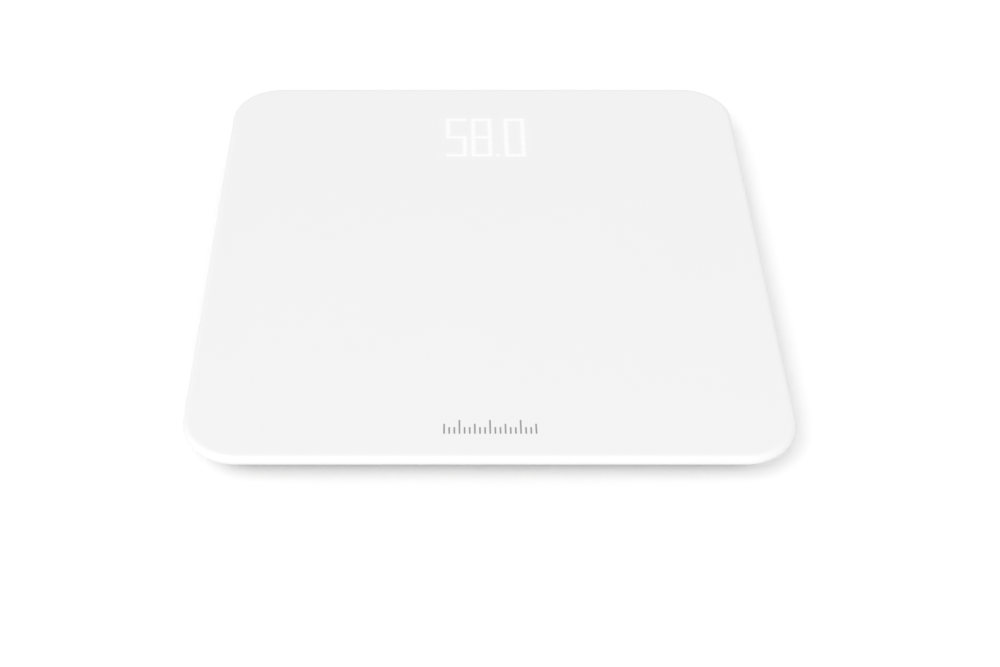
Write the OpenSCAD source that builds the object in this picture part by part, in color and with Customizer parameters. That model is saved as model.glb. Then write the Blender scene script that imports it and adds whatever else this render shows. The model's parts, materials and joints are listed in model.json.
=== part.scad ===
// Digital bathroom scale: a square platform with a rolled edge on a recessed base, four load cell feet,
// a display of dots that shines through the platform's skin, and a battery bay underneath.
// +X is to the user's right, +Y is towards the display and +Z is up.
// The origin is on the floor, under the middle.

/* [Platform] */
// Width of the platform
platform_w = 300; // [250:1:360]
// Depth of the platform
platform_d = 300; // [270:1:360]
// Radius of the platform's corners, seen from above
corner_r = 28; // [26:1:45]
// Height of the standing surface above the floor
scale_h = 22; // [21.5:0.1:30]
// Thickness of the platform's rolled edge
rim_t = 6; // [4.5:0.1:7.5]
// Width of the rim, from its outermost line to its inner face
rim_wall = 5.5; // [4:0.1:7]
// Thickness of the platform's skin
skin_t = 2.4; // [2:0.1:3]
// Thickness of the steel plate under the skin
plate_t = 1.2; // [0.8:0.1:1.5]

/* [Base housing] */
// How far the base stands back from the edge of the platform
base_inset = 12; // [8:0.5:16]
// Gap between the base and the floor
base_clear = 3; // [2.5:0.1:5]
// Thickness of the base's floor
base_t = 2; // [1.6:0.1:2.4]
// Thickness of the base's walls
wall_t = 2.2; // [1.6:0.1:2.8]
// Radius of the base's lower edge
base_edge_r = 3; // [2.4:0.1:4]
// Diameter of the housing screws
screw_d = 2.6; // [2:0.1:3]
// Clearance between parts that are only put together
fit_gap = 0.2; // [0.1:0.05:0.3]

/* [Feet and load cells] */
// Gap between a cell holder and the base's walls
holder_gap = 0.5; // [0.4:0.1:8]
// Diameter of a foot
foot_d = 30; // [24:0.5:36]
// Diameter of a rubber pad
pad_d = 25; // [18:0.5:26]
// Thickness of a rubber pad
pad_t = 2.2; // [1.6:0.1:2.5]
// How far a pad stands out of its foot
pad_proud = 1; // [0.8:0.1:1.2]
// Running gap around a foot
foot_gap = 0.6; // [0.4:0.1:1]
// Side of a square load cell
cell_w = 34; // [32:0.5:36]
// Thickness of a load cell
cell_t = 1.8; // [1.2:0.1:2.2]
// Width of the frame around a load cell's tongue
cell_frame = 6; // [5:0.5:7]
// Width of the slot around the tongue
cell_slot = 2; // [1.5:0.1:2.5]

/* [Display] */
// Distance from the back edge to the middle of the digits
display_inset = 49.8; // [42:0.1:60]
// Height of a digit, from its bottom dots to its top dots
digit_h = 34.3; // [24:0.1:42]
// Width of a digit, from its left dots to its right dots
digit_w = 9.8; // [8:0.1:12]
// Place of the tens digit, from the middle of the platform
tens_x = -15.6; // [-18:0.1:-12]
// Distance between the first digits
digit_pitch = 14.9; // [13:0.1:18]
// Distance between the last two digits, past the decimal point
point_pitch = 19.5; // [17:0.1:23]
// Dots across a digit
dot_cols = 4; // [3:1:6]
// Rows of dots in a digit, always an odd number
dot_rows = 7; // [5:2:9]
// Diameter of the light channel under a dot
dot_d = 2.2; // [1.6:0.1:2.4]
// Skin left over the display for the light to shine through
glow_skin = 1; // [0.8:0.1:1.4]
// Thickness of the circuit boards
board_t = 1.2; // [0.8:0.1:1.6]

/* [Battery bay] */
// Diameter of a battery
battery_d = 10.5; // [8:0.1:10.8]
// Length of a battery with its positive cap
battery_l = 44.5; // [36:0.1:54]
// Number of batteries
battery_n = 3; // [2:1:4]
// Room along a battery for its contact plates and spring
contact_room = 6.6; // [5.8:0.1:8]
// Place of the battery bay's middle along the platform
bay_y = -25; // [-40:1:-22]
// Gap around the battery door
door_gap = 0.4; // [0.3:0.05:0.6]

/* [Unit button and main board] */
// Diameter of the unit button
button_d = 9; // [7:0.5:12]
// Travel of the unit button
button_travel = 0.3; // [0.2:0.05:0.4]
// Width of the main board
main_board_w = 64; // [58:1:76]
// Depth of the main board
main_board_d = 30; // [28:1:36]
// Place of the main board's middle along the platform
main_board_y = 42; // [40:1:48]

/* [Hidden] */
$fn = 48;
eps = 0.01;

// Heights, from the floor up
rim_z = scale_h - rim_t;
skin_z = scale_h - skin_t;
plate_z = skin_z - plate_t;
base_floor_z = base_clear + base_t;
flange_t = 2;
flange_z = plate_z - flange_t;
cell_z = base_floor_z + 4.7;
cell_top = cell_z + cell_t;
wire_d = 1.1;
wire_pitch = 1.4;
wire_bend = 5;
wire_z = cell_top + 1.3;

// The base's outline
base_ref = base_inset + base_edge_r;
base_half_w = platform_w / 2 - base_inset - wall_t;
base_half_d = platform_d / 2 - base_inset - wall_t;

// Housing screws
boss_d = screw_d + 4.4;
boss_z = base_floor_z + 2;
boss_off = boss_d / 2 + 4.3;
boss_along = 60;
head_d = screw_d * 2;
head_h = 1.8;
screw_gap = 0.1;
boss_spots = concat(
    [for (sx = [-1, 1], sy = [-1, 1]) [sx * boss_along, sy * (base_half_d - boss_off)]],
    [for (sx = [-1, 1], sy = [-1, 1]) [sx * (base_half_w - boss_off), sy * boss_along]]);

// Cell holders
holder_wall = 3.8;
holder_w = cell_w + 2 * holder_wall;
holder_window = cell_w - 8;
holder_hook = 1;
hook_t = 0.8;
ear_w = 7;
ear_t = 4;
ear_x = holder_w / 2 + ear_w / 2 - 0.5;
holder_screw_l = 5;

// Feet: each spot is [x, y, turn], and the turned cell's neck faces the middle of the scale
foot_inset = base_inset + wall_t + holder_gap + ear_x + ear_w / 2;
foot_x = platform_w / 2 - foot_inset;
foot_y = platform_d / 2 - foot_inset;
foot_names = ["front_left", "front_right", "back_left", "back_right"];
foot_spots = [[-foot_x, -foot_y, 180], [foot_x, -foot_y, 180], [-foot_x, foot_y, 0], [foot_x, foot_y, 0]];
foot_wall = 1.8;
foot_top = base_floor_z + 2;
foot_floor_z = pad_t + 1.8;
post_d = 9;
foot_screw_d = 2.9;
foot_screw_l = 6.5;
foot_head_d = 5.6;
foot_head_h = 1.6;
collar_t = 1.6;
tongue_w = cell_w - 2 * cell_frame - 2 * cell_slot;
gauge_t = 0.6;
gauge_d = 4;
gauge_y = -(cell_w / 2 - cell_frame - gauge_d / 2 + 0.5);

// Battery bay
battery_pitch = battery_d + 0.6;
battery_z = base_floor_z + 0.3 + battery_d / 2;
bay_l = battery_l + contact_room;
bay_d = battery_n * battery_pitch + 9.8;
bay_wall = 1.6;
bay_top = base_floor_z + battery_d + 0.7;
bay_roof = 1.4;
open_l = bay_l + 3;
open_d = battery_n * battery_pitch + 3.4;
door_t = base_t - 0.1;
door_hinge_y = bay_y - open_d / 2 + door_gap;
door_latch_y = bay_y + open_d / 2 - door_gap;
tab_w = 8;
tab_reach = 2.4;
tab_t = 1.5;
latch_w = 12;
contact_t = 0.4;
contact_dimple = 0.7;
spring_wire = 0.6;
spring_turns = 4;

// Main board
main_board_z = base_floor_z + 4.4;
main_board_top = main_board_z + board_t;
standoff_x = main_board_w / 2 - 4;
standoff_y = main_board_d / 2 - 3.4;
small_screw_d = 2;
header_h = 4.5;
header_w = 7.5;
header_d = 5;
header_x = main_board_w / 2 - 13;
header_spots = [-5, 5];
switch_w = 6;
switch_h = 2.6;
plunger_d = 3.4;
plunger_h = button_travel + 0.2;
button_low = 0.4;

// Display
display_y = platform_d / 2 - display_inset;
mask_w = 62;
mask_d = digit_h + 10;
mask_top = scale_h - glow_skin;
display_board_top = skin_z - 2;
display_board_z = display_board_top - board_t;
display_board_w = mask_w + 12;
display_board_d = digit_h + 16;
display_boss_d = 5;
display_boss_x = mask_w / 2 + 3;
display_boss_y = digit_h / 2;
display_screw_d = 1.7;
window_gap = 2;
led_w = 1.6;
led_d = 0.8;
led_h = 0.6;

digit_spots = [tens_x, tens_x + digit_pitch, tens_x + digit_pitch + point_pitch];
lead_x = tens_x - digit_pitch + digit_w / 2;
point_x = tens_x + digit_pitch + point_pitch / 2 - 0.5;

// Dots of one figure eight, with its lower left dot at the origin
function eight_dots() = [
    for (row = [0:dot_rows - 1], col = [0:dot_cols - 1])
        if (col == 0 || col == dot_cols - 1 || row % ((dot_rows - 1) / 2) == 0)
            [col * digit_w / (dot_cols - 1), row * digit_h / (dot_rows - 1)]];

function display_dots() = concat(
    [for (x = digit_spots, p = eight_dots()) [x - digit_w / 2 + p[0], display_y - digit_h / 2 + p[1]]],
    [for (row = [0:dot_rows - 1]) [lead_x, display_y - digit_h / 2 + row * digit_h / (dot_rows - 1)]],
    [[point_x, display_y - digit_h / 2]]);

// ---- Shapes that repeat ----

// A rectangle with round corners, centred
module round_rect(w, d, r) {
    square([w - 2 * r, d], center = true);
    square([w, d - 2 * r], center = true);
    for (sx = [-1, 1], sy = [-1, 1])
        translate([sx * (w / 2 - r), sy * (d / 2 - r)])
            circle(r);
}

// A slab with that outline, standing on z
module round_slab(w, d, r, z, h) {
    translate([0, 0, z])
        linear_extrude(h)
            round_rect(w, d, r);
}

// Sweeps a profile round the platform's outline. The profile's x is measured outwards from a line that
// stands back by inset from the platform's edge, and its y is height.
module edge_sweep(inset) {
    straight_w = platform_w - 2 * corner_r;
    straight_d = platform_d - 2 * corner_r;
    for (turn = [0, 180]) {
        rotate([0, 0, turn])
            translate([platform_w / 2 - inset, straight_d / 2, 0])
                rotate([90, 0, 0])
                    linear_extrude(straight_d)
                        children();
        rotate([0, 0, turn + 90])
            translate([platform_d / 2 - inset, straight_w / 2, 0])
                rotate([90, 0, 0])
                    linear_extrude(straight_w)
                        children();
    }
    for (corner = [[1, 1, 0], [-1, 1, 90], [-1, -1, 180], [1, -1, 270]])
        translate([corner[0] * straight_w / 2, corner[1] * straight_d / 2, 0])
            rotate([0, 0, corner[2]])
                rotate_extrude(angle = 90)
                    translate([corner_r - inset, 0])
                        children();
}

module tube_z(r_out, r_in, z, h) {
    translate([0, 0, z])
        difference() {
            cylinder(r = r_out, h = h);
            translate([0, 0, -eps])
                cylinder(r = r_in, h = h + 2 * eps);
        }
}

// A screw whose head's seat is at z, with its shank going up
module screw_up(z, d, l, hd, hh) {
    translate([0, 0, z])
        cylinder(d = d, h = l);
    difference() {
        translate([0, 0, z - hh])
            cylinder(d = hd, h = hh);
        translate([0, 0, z - hh - eps])
            for (a = [0, 90])
                rotate([0, 0, a])
                    translate([-hd * 0.3, -hd * 0.07, 0])
                        cube([hd * 0.6, hd * 0.14, hh * 0.5]);
    }
}

// The same screw upside down, with its shank going down
module screw_down(z, d, l, hd, hh) {
    translate([0, 0, z])
        rotate([180, 0, 0])
            screw_up(0, d, l, hd, hh);
}

function unit(v) = v / norm(v);
function left_of(v) = [-v[1], v[0]];

// A level path moved sideways by s, point by point
function beside(path, s) = [
    for (i = [0:len(path) - 1])
        let (before = i > 0 ? left_of(unit(path[i] - path[i - 1])) : [0, 0],
             after = i < len(path) - 1 ? left_of(unit(path[i + 1] - path[i])) : [0, 0])
            path[i] + s * (before + after)];

// One round wire along a level path of right-angled turns
module wire_along(path, z, d, bend) {
    last = len(path) - 1;
    for (i = [0:last - 1]) {
        dir = unit(path[i + 1] - path[i]);
        from = path[i] + (i > 0 ? bend : 0) * dir;
        to = path[i + 1] - (i < last - 1 ? bend : 0) * dir;
        translate([from[0], from[1], z])
            rotate([0, 90, atan2(dir[1], dir[0])])
                cylinder(d = d, h = norm(to - from));
    }
    for (i = [1:1:last - 1]) {
        u = unit(path[i] - path[i - 1]);
        v = unit(path[i + 1] - path[i]);
        side = u[0] * v[1] - u[1] * v[0];
        middle = path[i] - bend * u + bend * v;
        start = side > 0 ? atan2(-v[1], -v[0]) : atan2(u[1], u[0]);
        translate([middle[0], middle[1], z])
            rotate([0, 0, start])
                rotate_extrude(angle = 90)
                    translate([bend, 0])
                        circle(d = d);
    }
}

// ---- Platform ----

module display_boss_spots() {
    for (sx = [-1, 1], sy = [-1, 1])
        translate([sx * display_boss_x, display_y + sy * display_boss_y, 0])
            children();
}

module platform_cover() {
    rim_r = rim_t / 2;
    color("white")
        difference() {
            union() {
                round_slab(platform_w - rim_t, platform_d - rim_t, corner_r - rim_r, rim_z, rim_t);
                edge_sweep(rim_r)
                    translate([0, rim_z + rim_r])
                        intersection() {
                            circle(rim_r);
                            translate([0, -rim_r])
                                square([rim_r, rim_t]);
                        }
            }
            difference() {
                round_slab(platform_w - 2 * rim_wall, platform_d - 2 * rim_wall, corner_r - rim_wall,
                           rim_z - 1, skin_z - rim_z + 1);
                for (p = boss_spots)
                    translate([p[0], p[1], 0])
                        cylinder(d = boss_d, h = scale_h);
            }
            translate([0, display_y, skin_z - eps])
                linear_extrude(mask_top - skin_z + eps)
                    square([mask_w + 2 * fit_gap, mask_d + 2 * fit_gap], center = true);
            for (p = boss_spots)
                translate([p[0], p[1], 0])
                    cylinder(d = screw_d + screw_gap, h = skin_z + 0.6);
            display_boss_spots()
                cylinder(d = display_screw_d + screw_gap, h = skin_z + 1.2);
        }
    color("white")
        for (p = boss_spots)
            translate([p[0], p[1], 0])
                tube_z(boss_d / 2, (screw_d + screw_gap) / 2, boss_z, rim_z - boss_z);
    color("white")
        display_boss_spots()
            tube_z(display_boss_d / 2, (display_screw_d + screw_gap) / 2, display_board_top,
                   skin_z - display_board_top);
}

module stiffener_plate() {
    edge = rim_wall + 0.5;
    color("silver")
        difference() {
            round_slab(platform_w - 2 * edge, platform_d - 2 * edge, corner_r - edge, plate_z, plate_t);
            translate([0, display_y, plate_z - eps])
                linear_extrude(plate_t + 2 * eps)
                    square([display_board_w + 2 * window_gap, display_board_d + 2 * window_gap],
                           center = true);
            for (p = boss_spots)
                translate([p[0], p[1], 0])
                    cylinder(d = boss_d + 1, h = scale_h);
            for (f = foot_spots, side = [-1, 1])
                translate([f[0] + side * ear_x, f[1], 0])
                    cylinder(d = screw_d + screw_gap, h = scale_h);
        }
}

// ---- Base ----

module base_shell() {
    wall_in = base_edge_r - wall_t;
    flange_out = base_ref - rim_wall - 0.3;
    round_slab(platform_w - 2 * base_ref, platform_d - 2 * base_ref, corner_r - base_ref, base_clear, base_t);
    edge_sweep(base_ref) {
        union() {
            intersection() {
                translate([0, base_clear + base_edge_r])
                    circle(base_edge_r);
                translate([0, base_clear])
                    square([base_edge_r, base_edge_r]);
            }
            translate([wall_in, base_clear + base_edge_r])
                square([wall_t, plate_z - base_clear - base_edge_r]);
            translate([wall_in, flange_z])
                square([flange_out - wall_in, flange_t]);
        }
    }
}

module bay_box() {
    h = bay_top + bay_roof - base_floor_z + eps;
    translate([-bay_l / 2 - bay_wall, bay_y - bay_d / 2 - bay_wall, base_floor_z - eps])
        cube([bay_l + 2 * bay_wall, bay_d + 2 * bay_wall, h]);
}

module base_fittings() {
    for (f = foot_spots)
        translate([f[0], f[1], 0])
            cylinder(d = foot_d + 2 * foot_gap + 2 * collar_t, h = foot_top);
    for (p = boss_spots)
        translate([p[0], p[1], 0])
            cylinder(d = boss_d + 2, h = boss_z);
    for (sx = [-1, 1], sy = [-1, 1])
        translate([sx * standoff_x, main_board_y + sy * standoff_y, 0])
            cylinder(d = 5.6, h = main_board_z);
    for (y = [-75, 75])
        translate([-base_half_w, y - 0.6, base_floor_z - 0.5])
            cube([2 * base_half_w, 1.2, 3.5]);
    for (x = [-75, 75])
        translate([x - 0.6, -base_half_d, base_floor_z - 0.5])
            cube([1.2, 2 * base_half_d, 3.5]);
    for (sx = [-1, 1], y = [-55, 0, 70])
        translate([sx * foot_x - 4, y - 1.2, base_floor_z - 0.5])
            cube([8, 2.4, wire_z - wire_d / 2 - base_floor_z + 0.5]);
}

module base_housing() {
    color("white")
        difference() {
            union() {
                base_shell();
                difference() {
                    union() {
                        bay_box();
                        base_fittings();
                    }
                    translate([-platform_w, -platform_d, 0])
                        cube([2 * platform_w, 2 * platform_d, base_clear + base_t / 2]);
                }
            }
            for (f = foot_spots)
                translate([f[0], f[1], 0])
                    cylinder(d = foot_d + 2 * foot_gap, h = foot_top + 1);
            for (p = boss_spots)
                translate([p[0], p[1], 0]) {
                    cylinder(d = screw_d + 0.3, h = scale_h);
                    cylinder(d = head_d + 0.6, h = base_clear + head_h + 0.2);
                }
            for (sx = [-1, 1], sy = [-1, 1])
                translate([sx * standoff_x, main_board_y + sy * standoff_y, base_floor_z - 0.4])
                    cylinder(d = small_screw_d + screw_gap, h = 10);
            translate([-bay_l / 2, bay_y - bay_d / 2, base_floor_z])
                cube([bay_l, bay_d, bay_top - base_floor_z]);
            translate([-open_l / 2, bay_y - open_d / 2, 0])
                cube([open_l, open_d, base_floor_z]);
            for (side = [-1, 1])
                translate([side > 0 ? bay_l / 2 - 1 : -bay_l / 2 - bay_wall - 1,
                           contact_tag_y(side) - 1.6, battery_z - 0.5])
                    cube([bay_wall + 2, 3.2, 2 + 2.5]);
            translate([0, main_board_y, 0])
                cylinder(d = button_d + 0.4, h = base_floor_z + 1);
            translate([-22, -foot_y - 12, base_clear - 1])
                cube([44, 24, 1 + 0.2]);
        }
}

module blank_label() {
    color("gainsboro")
        translate([-21.8, -foot_y - 11.8, base_clear])
            cube([43.6, 23.6, 0.2]);
}

module housing_screws() {
    color("silver")
        for (p = boss_spots)
            translate([p[0], p[1], 0])
                screw_up(base_clear + head_h + 0.2, screw_d, 11.5, head_d, head_h);
}

// ---- Feet and load cells ----

module foot_cup(f) {
    color("whitesmoke")
        translate([f[0], f[1], 0])
            difference() {
                union() {
                    difference() {
                        translate([0, 0, pad_proud])
                            cylinder(d = foot_d, h = foot_top - pad_proud);
                        translate([0, 0, foot_floor_z])
                            cylinder(d = foot_d - 2 * foot_wall, h = foot_top);
                    }
                    translate([0, 0, foot_floor_z - 1])
                        cylinder(d = post_d, h = cell_z - foot_floor_z + 1);
                    for (a = [0:60:300])
                        rotate([0, 0, a])
                            translate([post_d / 2 - 1, -0.6, foot_floor_z - 0.5])
                                cube([foot_d / 2 - post_d / 2 - foot_wall + 1.5, 1.2, 2]);
                }
                cylinder(d = pad_d + 2 * fit_gap, h = pad_t);
                translate([0, 0, foot_floor_z])
                    cylinder(d = foot_screw_d + screw_gap, h = cell_z);
            }
}

module foot_pad(f) {
    color("dimgray")
        translate([f[0], f[1], 0])
            difference() {
                cylinder(d = pad_d, h = pad_t);
                for (r = [5, 9])
                    tube_z(r + 0.5, r - 0.5, -0.6, 1.2);
            }
}

module foot_screw(f) {
    color("silver")
        translate([f[0], f[1], 0])
            screw_down(cell_top, foot_screw_d, foot_screw_l, foot_head_d, foot_head_h);
}

module load_cell(f) {
    slot_half = tongue_w / 2 + cell_slot;
    slot_end = cell_w / 2 - cell_frame;
    neck = -slot_end + gauge_d / 2;
    color("lightsteelblue")
        translate([f[0], f[1], 0])
            rotate([0, 0, f[2]])
                difference() {
                    round_slab(cell_w, cell_w, 3, cell_z, cell_t);
                    for (sx = [-1, 1])
                        translate([sx > 0 ? tongue_w / 2 : -slot_half, neck, cell_z - 1])
                            cube([cell_slot, slot_end - neck, cell_t + 2]);
                    translate([-slot_half, slot_end - cell_slot, cell_z - 1])
                        cube([2 * slot_half, cell_slot, cell_t + 2]);
                    cylinder(d = foot_screw_d + 0.5, h = scale_h);
                }
}

module strain_gauge(f) {
    color("ivory")
        translate([f[0], f[1], 0])
            rotate([0, 0, f[2]])
                round_slab_at(0, gauge_y, tongue_w - 2, gauge_d, 0.8, cell_top, gauge_t);
}

module round_slab_at(x, y, w, d, r, z, h) {
    translate([x, y, 0])
        round_slab(w, d, r, z, h);
}

module cell_holder(f) {
    color("lightgray")
        translate([f[0], f[1], 0])
            rotate([0, 0, f[2]])
                difference() {
                    union() {
                        round_slab(holder_w, holder_w, 4, cell_z - hook_t, plate_z - cell_z + hook_t);
                        translate([-ear_x - ear_w / 2, -ear_w / 2, plate_z - ear_t])
                            cube([2 * ear_x + ear_w, ear_w, ear_t]);
                    }
                    round_slab(cell_w + 2 * fit_gap, cell_w + 2 * fit_gap, 3, cell_z, cell_t);
                    round_slab(cell_w - 2 * holder_hook, cell_w - 2 * holder_hook, 3, 0, cell_z + 1);
                    round_slab(holder_window, holder_window, 2, cell_z, plate_z);
                    translate([-wire_pitch - 1.2, -holder_w, cell_top])
                        cube([2 * wire_pitch + 2.4, holder_w, wire_z - cell_top + 1.2]);
                    for (side = [-1, 1])
                        translate([side * ear_x, 0, 0])
                            cylinder(d = screw_d + 0.3, h = scale_h);
                    for (side = [-1, 1], level = [-1, 1])
                        translate([side * (cell_w / 2 - 4) - 2, level * (cell_w / 2) - 3, 0])
                            cube([4, 6, cell_z]);
                }
}

module holder_screws() {
    color("silver")
        for (f = foot_spots, side = [-1, 1])
            translate([f[0] + side * ear_x, f[1], 0])
                screw_up(plate_z - ear_t, screw_d, holder_screw_l, head_d, head_h);
}

// The three wires of a cell go straight in from its gauge, then turn to their header on the main board
module cell_wires(f, header) {
    inward = f[1] > 0 ? -1 : 1;
    side = f[0] > 0 ? 1 : -1;
    path = [[f[0], f[1] + inward * -gauge_y],
            [f[0], main_board_y + header],
            [side * (header_x + header_d / 2), main_board_y + header]];
    color("firebrick")
        for (i = [-1:1])
            wire_along(beside(path, i * wire_pitch), wire_z, wire_d, wire_bend);
}

// ---- Battery bay ----

function battery_y(i) = bay_y + (i - (battery_n + 1) / 2) * battery_pitch;
// Which end the positive cap of battery i points to, in turns
function battery_way(i) = i % 2 == 1 ? 1 : -1;
function contact_tag_y(side) = side < 0 ? battery_y(1) : battery_y(battery_n);

module battery(i) {
    way = battery_way(i);
    cap_h = 0.8;
    cap_tip = bay_l / 2 - contact_t - contact_dimple;
    color("goldenrod")
        translate([way * cap_tip, battery_y(i), battery_z])
            rotate([0, -90 * way, 0])
                union() {
                    cylinder(d = 3.8, h = cap_h + 0.2);
                    translate([0, 0, cap_h])
                        cylinder(d = battery_d, h = battery_l - cap_h);
                }
}

// A round wire wound into a cone-shaped spring that presses on a battery's flat end
module contact_spring(l) {
    sides = 6;
    steps = spring_turns * 14;
    function ring(k) =
        let (t = k / steps,
             a = 360 * spring_turns * t,
             r = 3.2 - 1.2 * t,
             z = spring_wire / 2 + (l - spring_wire) * t)
            [for (j = [0:sides - 1])
                let (b = 360 * j / sides)
                    [(r + spring_wire / 2 * cos(b)) * cos(a),
                     (r + spring_wire / 2 * cos(b)) * sin(a),
                     z + spring_wire / 2 * sin(b)]];
    points = [for (k = [0:steps]) each ring(k)];
    faces = concat(
        [[for (j = [0:sides - 1]) j]],
        [for (k = [0:steps - 1], j = [0:sides - 1])
            let (a = k * sides + j, b = k * sides + (j + 1) % sides)
                [b, a, a + sides]],
        [for (k = [0:steps - 1], j = [0:sides - 1])
            let (a = k * sides + j, b = k * sides + (j + 1) % sides)
                [b, a + sides, b + sides]],
        [[for (j = [sides - 1:-1:0]) steps * sides + j]]);
    polyhedron(points, faces, convexity = 8);
}

module battery_springs() {
    l = contact_room - 2 * contact_t - contact_dimple;
    color("silver")
        for (i = [1:battery_n])
            translate([-battery_way(i) * (bay_l / 2 - contact_t), battery_y(i), battery_z])
                rotate([0, 90 * battery_way(i), 0])
                    contact_spring(l);
}

module contact_plates() {
    h = battery_d * 0.8;
    w = battery_d * 0.8;
    color("silver")
        for (i = [1:battery_n], side = [-1, 1]) {
            translate([side * (bay_l / 2 - contact_t / 2), battery_y(i), battery_z])
                cube([contact_t, w, h], center = true);
            if (side == battery_way(i))
                translate([side * (bay_l / 2 - contact_t), battery_y(i), battery_z])
                    rotate([0, -90 * side, 0])
                        cylinder(d1 = 3.4, d2 = 2.4, h = contact_dimple, $fn = 24);
            paired = side > 0 ? i % 2 == 1 : i % 2 == 0;
            if (paired && i < battery_n)
                translate([side * (bay_l / 2 - contact_t / 2), (battery_y(i) + battery_y(i + 1)) / 2,
                           battery_z - h / 2 + 1])
                    cube([contact_t, battery_pitch, 2], center = true);
        }
    color("silver")
        for (side = [-1, 1])
            translate([side > 0 ? bay_l / 2 - contact_t : -bay_l / 2 - bay_wall - 1,
                       contact_tag_y(side) - 1.2, battery_z + 1])
                cube([contact_t + bay_wall + 1, 2.4, 0.4]);
}

module battery_leads() {
    lead_z = battery_z + 1.4 + wire_d / 2;
    color("black")
        for (side = [-1, 1]) {
            start_y = contact_tag_y(side);
            reach = bay_l / 2 + bay_wall + 0.7;
            turn_y = bay_y + bay_d / 2 + bay_wall + 5.5;
            path = [[side * reach, start_y],
                    [side * reach, turn_y],
                    [side * 14, turn_y],
                    [side * 14, main_board_y - main_board_d / 2 + 1]];
            wire_along(path, lead_z, wire_d, 2.4);
        }
}

module battery_door() {
    w = open_l - 2 * door_gap;
    d = open_d - 2 * door_gap;
    color("white")
        difference() {
            union() {
                translate([-w / 2, door_hinge_y, base_clear])
                    cube([w, d, door_t]);
                for (side = [-1, 1])
                    translate([side * (w / 2 - 12) - tab_w / 2, door_hinge_y - tab_reach, base_floor_z + 0.1])
                        cube([tab_w, tab_reach + 2, tab_t]);
                for (side = [-1, 1])
                    translate([side * (w / 2 - 12) - tab_w / 2, door_hinge_y, base_clear + 1])
                        cube([tab_w, 2, base_t + 0.5]);
            }
            translate([-latch_w / 2 - 0.4, door_latch_y - 7, base_clear - 1])
                cube([latch_w + 0.8, 8, base_t + 2]);
            for (i = [0:4])
                translate([-9, door_latch_y - 12 - 2 * i, base_clear - eps])
                    cube([18, 1, 0.5]);
        }
}

// The door's spring finger: it is moulded with the door, and bends when the door is opened
module door_latch() {
    color("white")
        union() {
            translate([-latch_w / 2, door_latch_y - 7, base_clear])
                cube([latch_w, 7, door_t]);
            translate([-latch_w / 2, door_latch_y - 1.4, base_clear])
                cube([latch_w, 1.4, base_t + 1.2]);
            translate([-latch_w / 2, door_latch_y - 1.4, base_floor_z + 0.1])
                cube([latch_w, 1.4 + door_gap + 0.7, 1.1]);
        }
}

// ---- Main board ----

module main_board() {
    color("darkgreen")
        difference() {
            translate([0, main_board_y, 0])
                round_slab(main_board_w, main_board_d, 1.5, main_board_z, board_t);
            for (sx = [-1, 1], sy = [-1, 1])
                translate([sx * standoff_x, main_board_y + sy * standoff_y, 0])
                    cylinder(d = small_screw_d + 0.3, h = scale_h);
        }
}

module controller_chip() {
    color("black")
        translate([-5, main_board_y - 5, main_board_top])
            cube([10, 10, 1.4]);
}

module board_parts() {
    color("tan") {
        for (i = [0:5])
            translate([-12 + 4.2 * i, main_board_y - 10, main_board_top])
                cube([2, 1.25, 0.6]);
        for (i = [0:3])
            translate([9, main_board_y - 5 + 3 * i, main_board_top])
                cube([1.25, 2, 0.9]);
        translate([-12, main_board_y, main_board_top])
            cylinder(d = 5, h = 5.4);
        translate([-13.5, main_board_y + 7, main_board_top])
            cube([7, 3, 1.3]);
    }
}

module cell_headers() {
    color("ivory")
        for (side = [-1, 1], y = header_spots)
            translate([side * header_x - header_d / 2, main_board_y + y - header_w / 2, main_board_top])
                cube([header_d, header_w, header_h]);
    color("ivory")
        translate([-16.5, main_board_y - main_board_d / 2 + 1, main_board_top])
            cube([33, 3.4, header_h]);
}

module board_screws() {
    color("silver")
        for (sx = [-1, 1], sy = [-1, 1])
            translate([sx * standoff_x, main_board_y + sy * standoff_y, 0])
                screw_down(main_board_top, small_screw_d, 5, 3.8, 1.3);
}

module unit_switch() {
    color("dimgray")
        difference() {
            translate([-switch_w / 2, main_board_y - switch_w / 2, main_board_z - switch_h])
                cube([switch_w, switch_w, switch_h]);
            translate([0, main_board_y, main_board_z - switch_h - eps])
                cylinder(d = plunger_d + 0.1, h = 1.6);
        }
}

module switch_plunger() {
    color("black")
        translate([0, main_board_y, main_board_z - switch_h - plunger_h])
            cylinder(d = plunger_d, h = plunger_h + 1.2);
}

module unit_button() {
    top = main_board_z - switch_h - plunger_h - 0.02;
    color("lightgray")
        translate([0, main_board_y, 0])
            union() {
                translate([0, 0, base_clear - button_low])
                    cylinder(d = button_d, h = base_t + button_low + 0.2);
                translate([0, 0, base_floor_z + 0.05])
                    cylinder(d = button_d + 2.4, h = top - base_floor_z - 0.05);
            }
}

// ---- Display ----

module display_board() {
    color("darkgreen")
        difference() {
            translate([0, display_y, 0])
                round_slab(display_board_w, display_board_d, 2, display_board_z, board_t);
            display_boss_spots()
                cylinder(d = display_screw_d + 0.3, h = scale_h);
        }
}

module display_leds() {
    color("lightyellow")
        for (p = display_dots())
            translate([p[0] - led_w / 2, p[1] - led_d / 2, display_board_top])
                cube([led_w, led_d, led_h]);
}

module display_mask() {
    color("white")
        difference() {
            translate([0, display_y, display_board_top])
                linear_extrude(mask_top - display_board_top)
                    square([mask_w, mask_d], center = true);
            for (p = display_dots())
                translate([p[0], p[1], 0])
                    cylinder(d = dot_d, h = scale_h);
        }
}

module display_header() {
    color("ivory") {
        translate([-8, display_y - display_board_d / 2 + 2, display_board_z - 2.2])
            cube([16, 4, 2.2]);
        translate([-8, main_board_y + main_board_d / 2 - 5, main_board_top])
            cube([16, 4, 2.2]);
    }
}

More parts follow.
